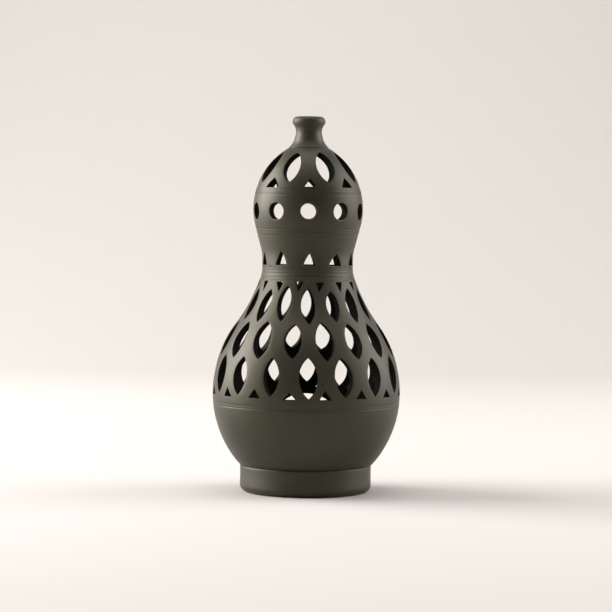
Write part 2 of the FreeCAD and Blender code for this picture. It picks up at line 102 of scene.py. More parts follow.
# smoke clouds: broad soft patches where the fire's smoke bit more or less deeply
CLOUD_SCALE, MOTTLE_SCALE = (17, 17, 11), (160, 160, 120)
clouds, _, clouds_out = new_group("smoke_clouds", (), ("Mask", "Mottle"))
broad = noise_of(clouds, CLOUD_SCALE, 4, 0.5, 0.6)
clouds.links.new(remapped(clouds, broad, 0.34, 0.68), clouds_out["Mask"])
fine = noise_of(clouds, MOTTLE_SCALE, 5, 0.6)
clouds.links.new(remapped(clouds, fine, 0.3, 0.7), clouds_out["Mottle"])

# turning lines: the fine level scratches and soft ridges that a rib leaves on the wheel
RIDGE_SCALE, SCRATCH_SCALE = (5, 5, 210), (14, 14, 1500)
turning, turning_in, turning_out = new_group(
    "turning_lines", (("Ridges", 1.0), ("Scratches", 1.0)), ("Height",))
ridges = add(turning, "Math", {0: noise_of(turning, RIDGE_SCALE, 2), 1: turning_in["Ridges"]},
             operation="MULTIPLY").outputs[0]
scratches = add(turning, "Math",
                {0: noise_of(turning, SCRATCH_SCALE, 3), 1: turning_in["Scratches"]},
                operation="MULTIPLY").outputs[0]
turning.links.new(add(turning, "Math", {0: ridges, 1: scratches}, operation="ADD").outputs[0],
                  turning_out["Height"])

# clay grain: fine sand in the clay, with a few open pits
SAND_SCALE, PIT_SCALE = (1700, 1700, 1700), (520, 520, 520)
grain, grain_in, grain_out = new_group("clay_grain", (("Pits", 0.5),), ("Height",))
sand = noise_of(grain, SAND_SCALE, 3, 0.6)
pits = remapped(grain, noise_of(grain, PIT_SCALE, 2), 0.24, 0.34, -1.0, 0.0)
deep = add(grain, "Math", {0: pits, 1: grain_in["Pits"]}, operation="MULTIPLY").outputs[0]
grain.links.new(add(grain, "Math", {0: sand, 1: deep}, operation="ADD").outputs[0],
                grain_out["Height"])

# rim highlight: a paler, browner colour painted along the rounded knife-cut rims as a painted
# highlight, in patches
HIGHLIGHT_PATCH_SCALE = (90, 90, 90)
rim_highlight_group, rim_highlight_in, rim_highlight_out = new_group("painted_rim_highlight", (("Amount", 1.0),), ("Mask",))
rim = add(rim_highlight_group, "Attribute", {}, attribute_name="rim").outputs["Fac"]
patchy = remapped(rim_highlight_group, noise_of(rim_highlight_group, HIGHLIGHT_PATCH_SCALE, 4), 0.32, 0.62, 0.35, 1.0)
highlit_patches = add(rim_highlight_group, "Math", {0: rim, 1: patchy}, operation="MULTIPLY").outputs[0]
highlight_mask = add(rim_highlight_group, "Math", {0: highlit_patches, 1: rim_highlight_in["Amount"]}, operation="MULTIPLY",
                use_clamp=True)
rim_highlight_group.links.new(highlight_mask.outputs[0], rim_highlight_out["Mask"])


def place_group(tree, group, **values):
    """Place a group in a material with its own values, and give its outputs."""
    node = tree.nodes.new("ShaderNodeGroup")
    node.node_tree = group
    for title, value in values.items():
        node.inputs[title].default_value = value
    return node.outputs


def blended(tree, factor, first, second):
    """A colour between two others; each is a colour or another node's socket."""
    mix = add(tree, "Mix", {0: factor}, data_type="RGBA")
    for socket, colour in ((mix.inputs[6], first), (mix.inputs[7], second)):
        if isinstance(colour, bpy.types.NodeSocket):
            tree.links.new(colour, socket)
        else:
            socket.default_value = (*colour, 1)
    return mix.outputs[2]


def black_clay(name, deep, smoky, rim_highlight, rough, ridges, scratches, pits, relief, rim_highlight_amount,
               shine):
    """
    Smoke-fired clay. Colours are for the deepest black, the smokier patches and the painted
    highlight on the rounded rims; rough is the smoothest and the dullest finish, and relief the
    depth of the marks in metres.
    """
    material = bpy.data.materials.new(name)
    material.use_nodes = True
    tree = material.node_tree
    finish = tree.nodes["Principled BSDF"]
    smoke = place_group(tree, clouds)
    lines = place_group(tree, turning, Ridges=ridges, Scratches=scratches)["Height"]
    sandy = place_group(tree, grain, Pits=pits)["Height"]
    rim_highlight_mask = place_group(tree, rim_highlight_group, Amount=rim_highlight_amount)["Mask"]
    body = blended(tree, smoke["Mask"], deep, smoky)
    mottled = blended(tree, remapped(tree, smoke["Mottle"], 0.0, 1.0, 0.0, 0.35), body, smoky)
    tree.links.new(blended(tree, rim_highlight_mask, mottled, rim_highlight), finish.inputs["Base Color"])
    dull = add(tree, "Math", {0: smoke["Mask"], 1: rim_highlight_mask}, operation="MAXIMUM").outputs[0]
    tree.links.new(remapped(tree, dull, 0.0, 1.0, *rough), finish.inputs["Roughness"])
    surface = add(tree, "Math", {0: lines, 1: sandy}, operation="ADD").outputs[0]
    bump = add(tree, "Bump", {"Height": surface, "Distance": relief, "Strength": 1.0})
    tree.links.new(bump.outputs["Normal"], finish.inputs["Normal"])
    finish.inputs["Specular IOR Level"].default_value = shine
    finish.inputs["Specular Tint"].default_value = CLAY_SPECULAR_TINT
    return material


# painted highlight: the paler brown colour laid on the rounded cut rims
RIM_HIGHLIGHT_COLOUR = (0.27, 0.235, 0.18)
BURNISHED = black_clay("burnished_clay", deep=(0.015, 0.0147, 0.0075),
                       smoky=(0.026, 0.0252, 0.0140), rim_highlight=RIM_HIGHLIGHT_COLOUR, rough=(0.42, 0.54),
                       ridges=0.6, scratches=0.3, pits=0.25, relief=0.00005, rim_highlight_amount=1.0,
                       shine=0.47)


def finish_piece(name, bm, node, materials):
    """Turn the worked mesh into the piece that shows in place of its CAD node."""
    for face in bm.faces:
        face.smooth = True
    mesh = bpy.data.meshes.new(name)
    bm.to_mesh(mesh)
    bm.free()
    for material in materials:
        mesh.materials.append(material)
    piece = bpy.data.objects.new(name, mesh)
    bpy.context.scene.collection.objects.link(piece)
    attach(piece, "root")
    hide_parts(node)
    return piece


def soften(bm, edges, offset, segments, rim_highlight=0.0):
    """Round edges off, and mark the rounded strip with how much painted highlight its rim gets."""
    edges = [edge for edge in edges if edge.is_valid]
    if not edges:
        return
    rounded = bmesh.ops.bevel(bm, geom=edges, offset=offset * MM, offset_type="OFFSET",
                              segments=segments, profile=0.5, affect="EDGES",
                              clamp_overlap=True, material=-1)
    layer = bm.verts.layers.float["rim"]
    strip = set(rounded["faces"])
    for vert in rounded["verts"]:
        vert[layer] = rim_highlight if strip.issuperset(vert.link_faces) else 0.0


def turn_section(name, corners, node, materials, rims=()):
    """Turn a closed section, given as (radius, level) corners, and round the named rims."""
    bm = bmesh.new()
    bm.verts.layers.float.new("rim")
    places = [bm.verts.new((radius * MM, 0, level * MM)) for radius, level in corners]
    for first, second in zip(places, places[1:] + places[:1]):
        bm.edges.new((first, second))
    bmesh.ops.spin(bm, geom=bm.verts[:] + bm.edges[:], cent=(0, 0, 0), axis=(0, 0, 1),
                   angle=2 * pi, steps=SPIN_STEPS, use_merge=True)
    bmesh.ops.remove_doubles(bm, verts=bm.verts, dist=WELD * MM)
    bmesh.ops.recalc_face_normals(bm, faces=bm.faces)
    for radius, level, offset, segments in rims:
        edges = [edge for edge in bm.edges
                 if all(abs(hypot(vert.co.x, vert.co.y) / MM - radius) < WELD
                        and abs(vert.co.z / MM - level) < WELD for vert in edge.verts)]
        soften(bm, edges, offset, segments)
    return finish_piece(name, bm, node, materials)


def level_of(node, end):
    """The lower (0) or upper (1) rim of a section, in millimetres."""
    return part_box(node)[end][2] / MM


FOOT_TOP = level_of("foot_ring", 1)
FOOT_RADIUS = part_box("foot_ring")[1][0] / MM
FOOT_HOLLOW = 44.7
FOOT_ROUND = 5.5
FOOT_FACE = FOOT_RADIUS - 0.15
FOOT_WAIST = 0.1
foot_edge = [(FOOT_FACE - FOOT_ROUND + FOOT_ROUND * sin(turn), FOOT_ROUND - FOOT_ROUND * cos(turn))
             for turn in (pi / 2 * step / 10 for step in range(10))]
foot_wall = [(FOOT_FACE - FOOT_WAIST * sin(pi * step / 10) ** 2,
              FOOT_ROUND + (FOOT_TOP - FOOT_ROUND) * step / 10) for step in range(11)]
turn_section("foot", foot_edge + foot_wall + [(FOOT_HOLLOW, FOOT_TOP), (FOOT_HOLLOW, 0)],
             "foot_ring", [BURNISHED], ((FOOT_HOLLOW, 0, 1.2, 3),))

# ------------------------------------------------------------------ floor
# A slab of the same clay laid on the foot ring inside the bowl, left matt and unburnished.

# The inner clay is coloured darker than the outer clay as painted shade for the hollow inside,
# with only a faint painted highlight on its rims; its matt finish is the clay's own.
INSIDE = black_clay("inner_clay", deep=(0.008, 0.0078, 0.0063), smoky=(0.015, 0.0145, 0.0120),
                    rim_highlight=(0.03, 0.027, 0.022), rough=(0.70, 0.85), ridges=1.6, scratches=0.6,
                    pits=1.0, relief=0.00012, rim_highlight_amount=0.3, shine=0.3)

FLOOR_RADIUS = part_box("floor_disc")[1][0] / MM
FLOOR_LOW, FLOOR_HIGH = level_of("floor_disc", 0), level_of("floor_disc", 1)
FLOOR_DROP, FLOOR_WAVE = 0.35, 0.3
floor_top = [(FLOOR_RADIUS * (1 - step / 40),
              FLOOR_HIGH - FLOOR_DROP + FLOOR_WAVE * cos(step * 1.3)) for step in range(41)]
turn_section("floor_slab", [(0, FLOOR_LOW), (FLOOR_RADIUS, FLOOR_LOW)] + floor_top,
             "floor_disc", [INSIDE], ())

# ------------------------------------------------------------------ lower bowl
# The plain half of the big bulb, thrown on the wheel and left uncut, but for one oval
# opening in the back, cut after the halves were joined, so its crown runs into the belly.
# Every thrown section follows its own stretch of one outline, the same from foot to neck.

WALL = 6.0
SKIN = 0.12
BOWL_TOP = level_of("lower_bowl", 1)
COLLAR_LOW = level_of("waist_collar", 0)
COLLAR_HIGH = level_of("waist_collar", 1)
CUP_TOP = level_of("upper_cup", 1)
BAND_TOP = level_of("round_hole_band", 1)
DOME_TOP = level_of("petal_dome", 1)
SEAMS = (FOOT_TOP, BOWL_TOP, COLLAR_LOW, COLLAR_HIGH, CUP_TOP, BAND_TOP, DOME_TOP)
BELLY_RADIUS = 75.2
BELLY_LEVEL = 79.3
BOWL_ARC = 86.7
BELLY_ARC = 93.0
SHOULDER_TURN = radians(36.2)
SHOULDER_ARC = 141.0
COLLAR_ARC = 27.0
WAIST_RADIUS = 36.4
CUP_STRAIGHT = 187.2
CUP_ARC = 25.5
CUP_LEAN = radians(14.6)
BAND_ARC = 54.0
BULB_RADIUS = 44.0
BULB_LEVEL = 226.4
DOME_ARC = 56.3

HAND_OVER = BELLY_ARC * sin(SHOULDER_TURN) + BELLY_LEVEL
SHOULDER_R = BELLY_RADIUS - BELLY_ARC + (BELLY_ARC + SHOULDER_ARC) * cos(SHOULDER_TURN)
SHOULDER_Z = BELLY_LEVEL + (BELLY_ARC + SHOULDER_ARC) * sin(SHOULDER_TURN)
BAND_CENTRE = BULB_RADIUS - BAND_ARC
FLARE_TOP = BULB_LEVEL - BAND_ARC * sin(CUP_LEAN)


def bulge(level, radius, widest, arc):
    """Radius and lean of the wall on an arc that swells out to a radius at its widest level."""
    return radius - arc + sqrt(arc ** 2 - (level - widest) ** 2), asin((level - widest) / arc)


def hollow(level, centre_r, centre_z, arc):
    """The same on an arc that curves inwards round a centre outside the wall."""
    return centre_r - sqrt(arc ** 2 - (level - centre_z) ** 2), asin((centre_z - level) / arc)


def outline(level):
    """Outside radius at a level, and how far the wall there leans back from upright."""
    if level < BELLY_LEVEL:
        return bulge(level, BELLY_RADIUS, BELLY_LEVEL, BOWL_ARC)
    if level < HAND_OVER:
        return bulge(level, BELLY_RADIUS, BELLY_LEVEL, BELLY_ARC)
    if level < COLLAR_LOW:
        return hollow(level, SHOULDER_R, SHOULDER_Z, SHOULDER_ARC)
    if level < COLLAR_HIGH:
        return hollow(level, WAIST_RADIUS + COLLAR_ARC, COLLAR_HIGH, COLLAR_ARC)
    if level < CUP_STRAIGHT:
        return WAIST_RADIUS, 0.0
    if level < CUP_STRAIGHT + CUP_ARC * sin(CUP_LEAN):
        return hollow(level, WAIST_RADIUS + CUP_ARC, CUP_STRAIGHT, CUP_ARC)
    if level < FLARE_TOP:
        along = BAND_ARC + (level - BULB_LEVEL) * sin(CUP_LEAN)
        return BAND_CENTRE + along / cos(CUP_LEAN), -CUP_LEAN
    if level < BULB_LEVEL:
        return bulge(level, BULB_RADIUS, BULB_LEVEL, BAND_ARC)
    return bulge(level, BULB_RADIUS, BULB_LEVEL, DOME_ARC)


ON_OUTSIDE, ON_CUT, ON_INSIDE = 0, 1, 2
DRUM = 100.0
NEAR_SEAM = 5.0
KNIFE_LEVELLING = 0.6
RIM_ROUND = 0.9
SEAM_ROUND = 0.06
SHEET_WELD = 0.004
# The cut faces are coloured darker than the burnished clay as painted shade, for faces that look
# into the dark inside; their matt finish is the clay's own, and their rims carry the same painted
# highlight.
SHADED_KNIFE_CUT = black_clay("knife_cut_clay_painted_shade", deep=(0.006, 0.0056, 0.0042),
                       smoky=(0.012, 0.0112, 0.0085), rim_highlight=RIM_HIGHLIGHT_COLOUR, rough=(0.65, 0.80),
                       ridges=0.4, scratches=0.9, pits=0.7, relief=0.00010, rim_highlight_amount=1.0,
                       shine=0.12)
# each line's level, depth and half width
TURNED_LINES = ((21.6, 0.4, 1.0), (72.6, 0.12, 0.8), (172.2, 0.3, 0.5), (175.4, 0.25, 0.45),
                (177.6, 0.16, 0.35), (205.2, 0.14, 0.45), (210.2, 0.18, 0.4),
                (237.4, 0.16, 0.5), (241.0, 0.12, 0.4))


def turned_dent(level):
    """How deep the tool marks of the wheel are at a level."""
    return sum(deep * exp(-((level - line) / half) ** 2) for line, deep, half in TURNED_LINES)


def press(place, aside):
    """
    The final place, in metres, of a point of the rolled sheet. A knife goes straight in, a
    little below level, so a point on a cut slides aside and up the wall as it goes deeper.
    """
    azimuth = atan2(place.x, -place.y)
    level = place.z
    depth = DRUM - hypot(place.x, place.y)
    to_seam = min(abs(level - seam) for seam in SEAMS)
    square = min(to_seam / NEAR_SEAM, 1.0)
    azimuth += radians(aside) * depth / outline(level)[0]
    level += KNIFE_LEVELLING * square * depth * sin(outline(level)[1])
    radius, lean = outline(level)
    if depth < WALL / 2:
        depth += SKIN + turned_dent(level)
    inward = depth * (square * cos(lean) + (1 - square) / cos(lean))
    level -= depth * square * sin(lean)
    radius -= inward
    return Vector((radius * sin(azimuth), -radius * cos(azimuth), level)) * MM


def along(*legs):
    """Points along straight legs, each (start, end, steps); an end is left to the next leg."""
    return [Vector((*start, 0)).lerp(Vector((*end, 0)), step / steps)
            for start, end, steps in legs for step in range(steps)]


def cell(sheet, border, opening, rings=2):
    """Clay between a border and the knife cut inside it, both with the same number of points."""
    aside = sheet.verts.layers.float["aside"]
    loop = bmesh.ops.create_circle(sheet, cap_ends=True, segments=len(border), radius=1)["verts"]
    for vert, place in zip(loop, border):
        vert.co = place
    middle = sum(place.x for place in opening) / len(opening)
    waste = loop[0].link_faces[0]
    bmesh.ops.inset_individual(sheet, faces=[waste], thickness=0.05)
    inner = set(waste.verts)
    spokes = []
    for vert, place in zip(loop, opening):
        spoke = next(edge for edge in vert.link_edges if edge.other_vert(vert) in inner)
        spoke.other_vert(vert).co = place
        spoke.other_vert(vert)[aside] = place.x - middle
        spokes.append(spoke)
    bmesh.ops.delete(sheet, geom=[waste], context="FACES_ONLY")
    bmesh.ops.subdivide_edges(sheet, edges=spokes, cuts=rings, use_grid_fill=True)


def panel(sheet, low, high, columns, rows):
    """A plain stretch of the sheet between two corners."""
    grid = bmesh.ops.create_grid(sheet, x_segments=columns, y_segments=rows, size=1)["verts"]
    for vert in grid:
        vert.co = ((low[0] + high[0]) / 2 + vert.co.x * (high[0] - low[0]) / 2,
                   (low[1] + high[1]) / 2 + vert.co.y * (high[1] - low[1]) / 2, 0)


def new_sheet():
    """A flat sheet; 'aside' is how far, in degrees, a point of a cut is from the cut's middle."""
    sheet = bmesh.new()
    sheet.verts.layers.float.new("aside")
    sheet.verts.layers.float.new("rim")
    return sheet


def raise_wall(name, sheet, node):
    """Roll the sheet up, give it its wall, shape it and make it the piece that shows."""
    aside = sheet.verts.layers.float["aside"]
    for vert in sheet.verts:
        azimuth = radians(vert.co.x)
        vert.co = (DRUM * sin(azimuth), -DRUM * cos(azimuth), vert.co.y)
    bmesh.ops.remove_doubles(sheet, verts=sheet.verts, dist=SHEET_WELD)
    grown = bmesh.ops.extrude_face_region(sheet, geom=sheet.faces[:])["geom"]
    inside = [item for item in grown if isinstance(item, bmesh.types.BMVert)]
    bmesh.ops.scale(sheet, verts=inside, vec=((DRUM - WALL) / DRUM, (DRUM - WALL) / DRUM, 1))
    inside = set(inside)
    for face in sheet.faces:
        deep = sum(vert in inside for vert in face.verts)
        if deep == len(face.verts):
            face.material_index = ON_INSIDE
        else:
            face.material_index = ON_CUT if deep else ON_OUTSIDE
    edges_round_cuts = []
    edges_at_seams = []
    for edge in sheet.edges:
        if (edge.verts[0] in inside) != (edge.verts[1] in inside):
            continue
        sides = [any((vert in inside) != (edge.verts[0] in inside) for vert in face.verts)
                 for face in edge.link_faces]
        if any(sides):
            levels = [vert.co.z for vert in edge.verts]
            at_seam = any(all(abs(level - seam) < WELD for level in levels) for seam in SEAMS)
            (edges_at_seams if at_seam else edges_round_cuts).append(edge)
    for vert in sheet.verts:
        vert.co = press(vert.co, vert[aside])
    bmesh.ops.recalc_face_normals(sheet, faces=sheet.faces)
    # the rounded knife-cut rims take the full painted highlight
    soften(sheet, edges_round_cuts, RIM_ROUND, 3, 1.0)
    soften(sheet, edges_at_seams, SEAM_ROUND, 1)
    return finish_piece(name, sheet, node, [BURNISHED, SHADED_KNIFE_CUT, INSIDE])


BACK = 180.0
BACK_LEVEL = 57.2
BACK_WIDE = 25.0
BACK_TALL = 16.0
BACK_REACH = 30.0
BACK_FOOT = 34.0


def back_place(turn):
    """A point of the back opening's edge; turn 0 is its lowest point."""
    level = BACK_LEVEL - BACK_TALL * cos(turn)
    return Vector((BACK + degrees(asin(BACK_WIDE * sin(turn) / outline(level)[0])), level, 0))


def back_crown(azimuth):
    """How high the back opening reaches at an azimuth."""
    across = BELLY_RADIUS * sin(radians(azimuth - BACK)) / BACK_WIDE
    if abs(across) >= 1 or cos(radians(azimuth - BACK)) < 0:
        return 0.0
    return BACK_LEVEL + BACK_TALL * sqrt(1 - across ** 2)


bowl = new_sheet()
START, END = BACK + BACK_REACH - 360, BACK - BACK_REACH
panel(bowl, (START, FOOT_TOP), (END, BACK_FOOT), 100, 10)
panel(bowl, (START, BACK_FOOT), (END, BOWL_TOP), 100, 30)
panel(bowl, (END, FOOT_TOP), (BACK + BACK_REACH, BACK_FOOT), 20, 10)
back_border = along(((END, BOWL_TOP), (END, BACK_FOOT), 30),
                    ((END, BACK_FOOT), (BACK + BACK_REACH, BACK_FOOT), 20),
                    ((BACK + BACK_REACH, BACK_FOOT), (BACK + BACK_REACH, BOWL_TOP), 30))
back_border.append(Vector((BACK + BACK_REACH, BOWL_TOP, 0)))
open_turn = pi - asin(sqrt(1 - ((BOWL_TOP - BACK_LEVEL) / BACK_TALL) ** 2))
collar_of_clay = bmesh.ops.create_grid(bowl, x_segments=80, y_segments=8, size=1)["verts"]
for vert in collar_of_clay:
    step = round((vert.co.x + 1) / 2 * 80)
    edge_place = back_place(open_turn * (step / 40 - 1))
    vert.co = back_border[step].lerp(edge_place, (vert.co.y + 1) / 2)
raise_wall("bowl", bowl, "lower_bowl")

# ------------------------------------------------------------------ pierced belly
# The upper half of the big bulb, thrown as a ring and drawn in to the shoulder. While it is
# leather-hard it is cut freehand with a thin knife: five rows of sixteen, half a step apart.

ROW = 16
STEP = 360 / ROW
HALF = STEP / 2
LATTICE_FOOT = 75.6
WEB_LOW = 91.0
WEB_MID_LOW, TIP_MID_LOW = 107.0, 112.8
TIP_MID_HIGH, WEB_MID_HIGH = 134.6, 138.6
WEB_HIGH = 156.0
FOOT_SPREAD = 4.2
HEAD_SPREAD = 3.8
knife = random.Random(4)


def leaf(azimuth, cut, steps):
    """
    A leaf-shaped cut from its lower tip, up the right side and down the left. The cut is given
    as the lower tip's shift and level, the upper tip's, and its swell to the left and right.
    """
    low_shift, low, high_shift, high, left, right = cut
    tall = high - low
    points = []
    for side, swell in ((1, right), (-1, left)):
        arc = (tall ** 2 / 4 + swell ** 2) / (2 * swell)
        for step in range(steps):
            share = step / steps if side == 1 else 1 - step / steps
            across = sqrt(arc ** 2 - ((share - 0.5) * tall) ** 2) - arc + swell
            level = low + tall * share
            shift = low_shift + (high_shift - low_shift) * share
            turned = side * degrees(across / outline(level)[0])
            points.append(Vector((azimuth + shift + turned, level, 0)))
    return points


def triangle(azimuth, cut, base_steps, side_steps, swell=0.0):
    """
    A triangular cut from mid base to its right corner, its tip and its left corner. The cut is
    given as the base's left and right ends and its level, then the tip's shift and level.
    """
    left, right, base, shift, tip = cut
    middle = (left + right) / 2
    corners = ((middle, base), (right, base), (shift, tip), (left, base), (middle, base))
    steps = (base_steps, side_steps, side_steps, base_steps)
    points = []
    for leg, (start, end, count) in enumerate(zip(corners, corners[1:], steps)):
        for step in range(count):
            share = step / count
            across = start[0] + (end[0] - start[0]) * share
            belly_out = swell * (right - left) * 2 * share * (1 - share)
            across += {1: belly_out, 2: -belly_out}.get(leg, 0.0)
            points.append(Vector((azimuth + across, start[1] + (end[1] - start[1]) * share, 0)))
    return points


def freehand(cut, *stray):
    """A cut as a free hand leaves it, each of its measures a little astray."""
    return tuple(value + knife.uniform(-1, 1) * most for value, most in zip(cut, stray))


def drift(azimuth, level):
    """How far the rows have slipped round by the time the knife gets to a place."""
    share = min(max((level - 137) / 33, 0), 1)
    return 1.1 + share * (1.9 + 5 * sin(radians(azimuth)))


LEAF_STRAY = (0.7, 0.6, 0.7, 0.6, 0.4, 0.4)
LOW_LEAF = (0, 80.4, 0, 111.2, 7.3, 7.2)
LOW_CUTS = {0: (0.5, 79, 0, 111.5, 7.5, 7), 1: (0.5, 80, -1, 111, 7.5, 7.5),
            7: (-0.5, 79.5, -1, 111, 9, 6.5), 8: (-1.5, 83, -1, 111, 7, 7),
            9: (-2, 83, -1, 111, 7, 7), 14: (-1.5, 80.5, -0.5, 111, 7.5, 7),
            15: (-0.5, 80.5, -1, 111, 6, 7)}
MID_LEAF = (0, 109.4, 0, 137.0, 7.2, 7.2)
MID_CUTS = {0: (1, 108, -0.5, 138, 7, 7.5), 7: (0, 110.5, -1, 137.5, 8.5, 7),
            8: (-1.5, 112, -1, 137, 7, 7), 14: (0, 109, -1.5, 138.5, 7.5, 8),
            15: (1, 110, 0.5, 136.5, 7.5, 6.5)}
HIGH_LEAF = (0, 137.6, 0, 163.8, 5.5, 5.4)
HIGH_CUTS = {0: (1, 136, -1.5, 164, 6, 5), 1: (1.5, 138, -0.5, 162, 5.5, 5),
             6: (-3, 137, -3.5, 164, 5.5, 5.5), 14: (-1.5, 137, 1.5, 163, 6, 5),
             15: (-1, 138, -1, 166, 6, 5.5)}
SEAT = (-4.0, 4.0, 78.7, 0, 86.0)
SEAT_STRAY = (0.4, 0.4, 0.3, 0.6, 0.5)
SEAT_CUTS = {0: (-4.5, 3, 78.5, -1, 86.5), 15: (-4, 4, 78.5, 0, 84.5)}
HANGING = (-4.6, 4.6, 168.9, 0, 160.8)
HANGING_STRAY = (0.6, 0.6, 0.3, 0.8, 0.5)
HANGING_CUTS = {0: (-4.5, 4.5, 168.5, -1.5, 160.5), 15: (-4.5, 4.5, 169, -0.5, 161)}

belly = new_sheet()
for number in range(ROW):
    front = number * STEP
    left, right = front - HALF, front + HALF
    cell(belly,
         along(((front, LATTICE_FOOT), (front + FOOT_SPREAD, LATTICE_FOOT), 2),
               ((front + FOOT_SPREAD, LATTICE_FOOT), (right, WEB_LOW), 4),
               ((right, WEB_LOW), (right, WEB_MID_LOW), 5),
               ((right, WEB_MID_LOW), (front, TIP_MID_LOW), 3),
               ((front, TIP_MID_LOW), (left, WEB_MID_LOW), 3),
               ((left, WEB_MID_LOW), (left, WEB_LOW), 5),
               ((left, WEB_LOW), (front - FOOT_SPREAD, LATTICE_FOOT), 4),
               ((front - FOOT_SPREAD, LATTICE_FOOT), (front, LATTICE_FOOT), 2)),
         leaf(front, LOW_CUTS.get(number, freehand(LOW_LEAF, *LEAF_STRAY)), 14))
    cell(belly,
         along(((right, LATTICE_FOOT), (right + HALF - FOOT_SPREAD, LATTICE_FOOT), 2),
               ((right + HALF - FOOT_SPREAD, LATTICE_FOOT), (right, WEB_LOW), 4),
               ((right, WEB_LOW), (front + FOOT_SPREAD, LATTICE_FOOT), 4),
               ((front + FOOT_SPREAD, LATTICE_FOOT), (right, LATTICE_FOOT), 2)),
         triangle(right, SEAT_CUTS.get(number, freehand(SEAT, *SEAT_STRAY)), 2, 4))
    cell(belly,
         along(((right, WEB_MID_LOW), (right + HALF, TIP_MID_LOW), 3),
               ((right + HALF, TIP_MID_LOW), (right + HALF, TIP_MID_HIGH), 6),
               ((right + HALF, TIP_MID_HIGH), (right, WEB_MID_HIGH), 3),
               ((right, WEB_MID_HIGH), (front, TIP_MID_HIGH), 3),
               ((front, TIP_MID_HIGH), (front, TIP_MID_LOW), 6),
               ((front, TIP_MID_LOW), (right, WEB_MID_LOW), 3)),
         leaf(right, MID_CUTS.get(number, freehand(MID_LEAF, *LEAF_STRAY)), 12))
    cell(belly,
         along(((front, TIP_MID_HIGH), (right, WEB_MID_HIGH), 3),
               ((right, WEB_MID_HIGH), (right, WEB_HIGH), 6),
               ((right, WEB_HIGH), (front + HEAD_SPREAD, COLLAR_LOW), 3),
               ((front + HEAD_SPREAD, COLLAR_LOW), (front, COLLAR_LOW), 2),
               ((front, COLLAR_LOW), (front - HEAD_SPREAD, COLLAR_LOW), 2),
               ((front - HEAD_SPREAD, COLLAR_LOW), (left, WEB_HIGH), 3),
               ((left, WEB_HIGH), (left, WEB_MID_HIGH), 6),
               ((left, WEB_MID_HIGH), (front, TIP_MID_HIGH), 3)),
         leaf(front, HIGH_CUTS.get(number, freehand(HIGH_LEAF, *LEAF_STRAY)), 14))
    cell(belly,
         along(((right, COLLAR_LOW), (right + HALF - HEAD_SPREAD, COLLAR_LOW), 2),
               ((right + HALF - HEAD_SPREAD, COLLAR_LOW), (right, WEB_HIGH), 3),
               ((right, WEB_HIGH), (front + HEAD_SPREAD, COLLAR_LOW), 3),
               ((front + HEAD_SPREAD, COLLAR_LOW), (right, COLLAR_LOW), 2)),
         triangle(right, HANGING_CUTS.get(number, freehand(HANGING, *HANGING_STRAY)), 2, 3))
    for start, end, columns in ((front - FOOT_SPREAD, front + FOOT_SPREAD, 4),
                                (front + FOOT_SPREAD, right + HALF - FOOT_SPREAD, 4)):
        panel(belly, (start, BOWL_TOP), (end, LATTICE_FOOT), columns, 8)
for vert in belly.verts:
    vert.co.x += drift(vert.co.x, vert.co.y)
    if vert.co.y < LATTICE_FOOT:
        rim = max(back_crown(vert.co.x), BOWL_TOP)
        vert.co.y = rim + (vert.co.y - BOWL_TOP) * (LATTICE_FOOT - rim) / (LATTICE_FOOT - BOWL_TOP)
raise_wall("belly", belly, "pierced_belly")

# ------------------------------------------------------------------ waist collar
# The plain band that ties the two bulbs, with fine rings left by a rib held to the wheel.

collar = new_sheet()
panel(collar, (-180, COLLAR_LOW), (180, COLLAR_HIGH), 120, 28)
raise_wall("collar", collar, "waist_collar")

# ------------------------------------------------------------------ upper cup
# The flaring lower part of the small bulb. Ten gabled openings stand on the collar's edge.

CUP_ROW = 10
CUP_STEP = 360 / CUP_ROW
GABLE_TOP = 197.0
GABLE_CUTS = {0: (-5, 10.5, 181.5, 2.5, 191), 1: (-8, 10.5, 181.5, 3, 191.5),
              9: (-8, 9, 181.5, 1.5, 193.5)}
cup = new_sheet()
for number in range(CUP_ROW):
    front = number * CUP_STEP
    left, right = front - CUP_STEP / 2, front + CUP_STEP / 2
    gable = GABLE_CUTS.get(number, (-7.5, 8.5, 181.5, 0.5, 192.5))
    cell(cup,
         along(((front, COLLAR_HIGH), (right, COLLAR_HIGH), 4),
               ((right, COLLAR_HIGH), (right, GABLE_TOP), 5),
               ((right, GABLE_TOP), (front, GABLE_TOP), 4),
               ((front, GABLE_TOP), (left, GABLE_TOP), 4),
               ((left, GABLE_TOP), (left, COLLAR_HIGH), 5),
               ((left, COLLAR_HIGH), (front, COLLAR_HIGH), 4)),
         triangle(front, freehand(gable, 0.3, 0.3, 0.1, 0.3, 0.3), 4, 9, 0.14), 4)
    panel(cup, (left, GABLE_TOP), (right, CUP_TOP), 8, 20)
raise_wall("cup", cup, "upper_cup")

# ------------------------------------------------------------------ round-hole band
# The widest course of the small bulb, with ten holes cut with a tube.

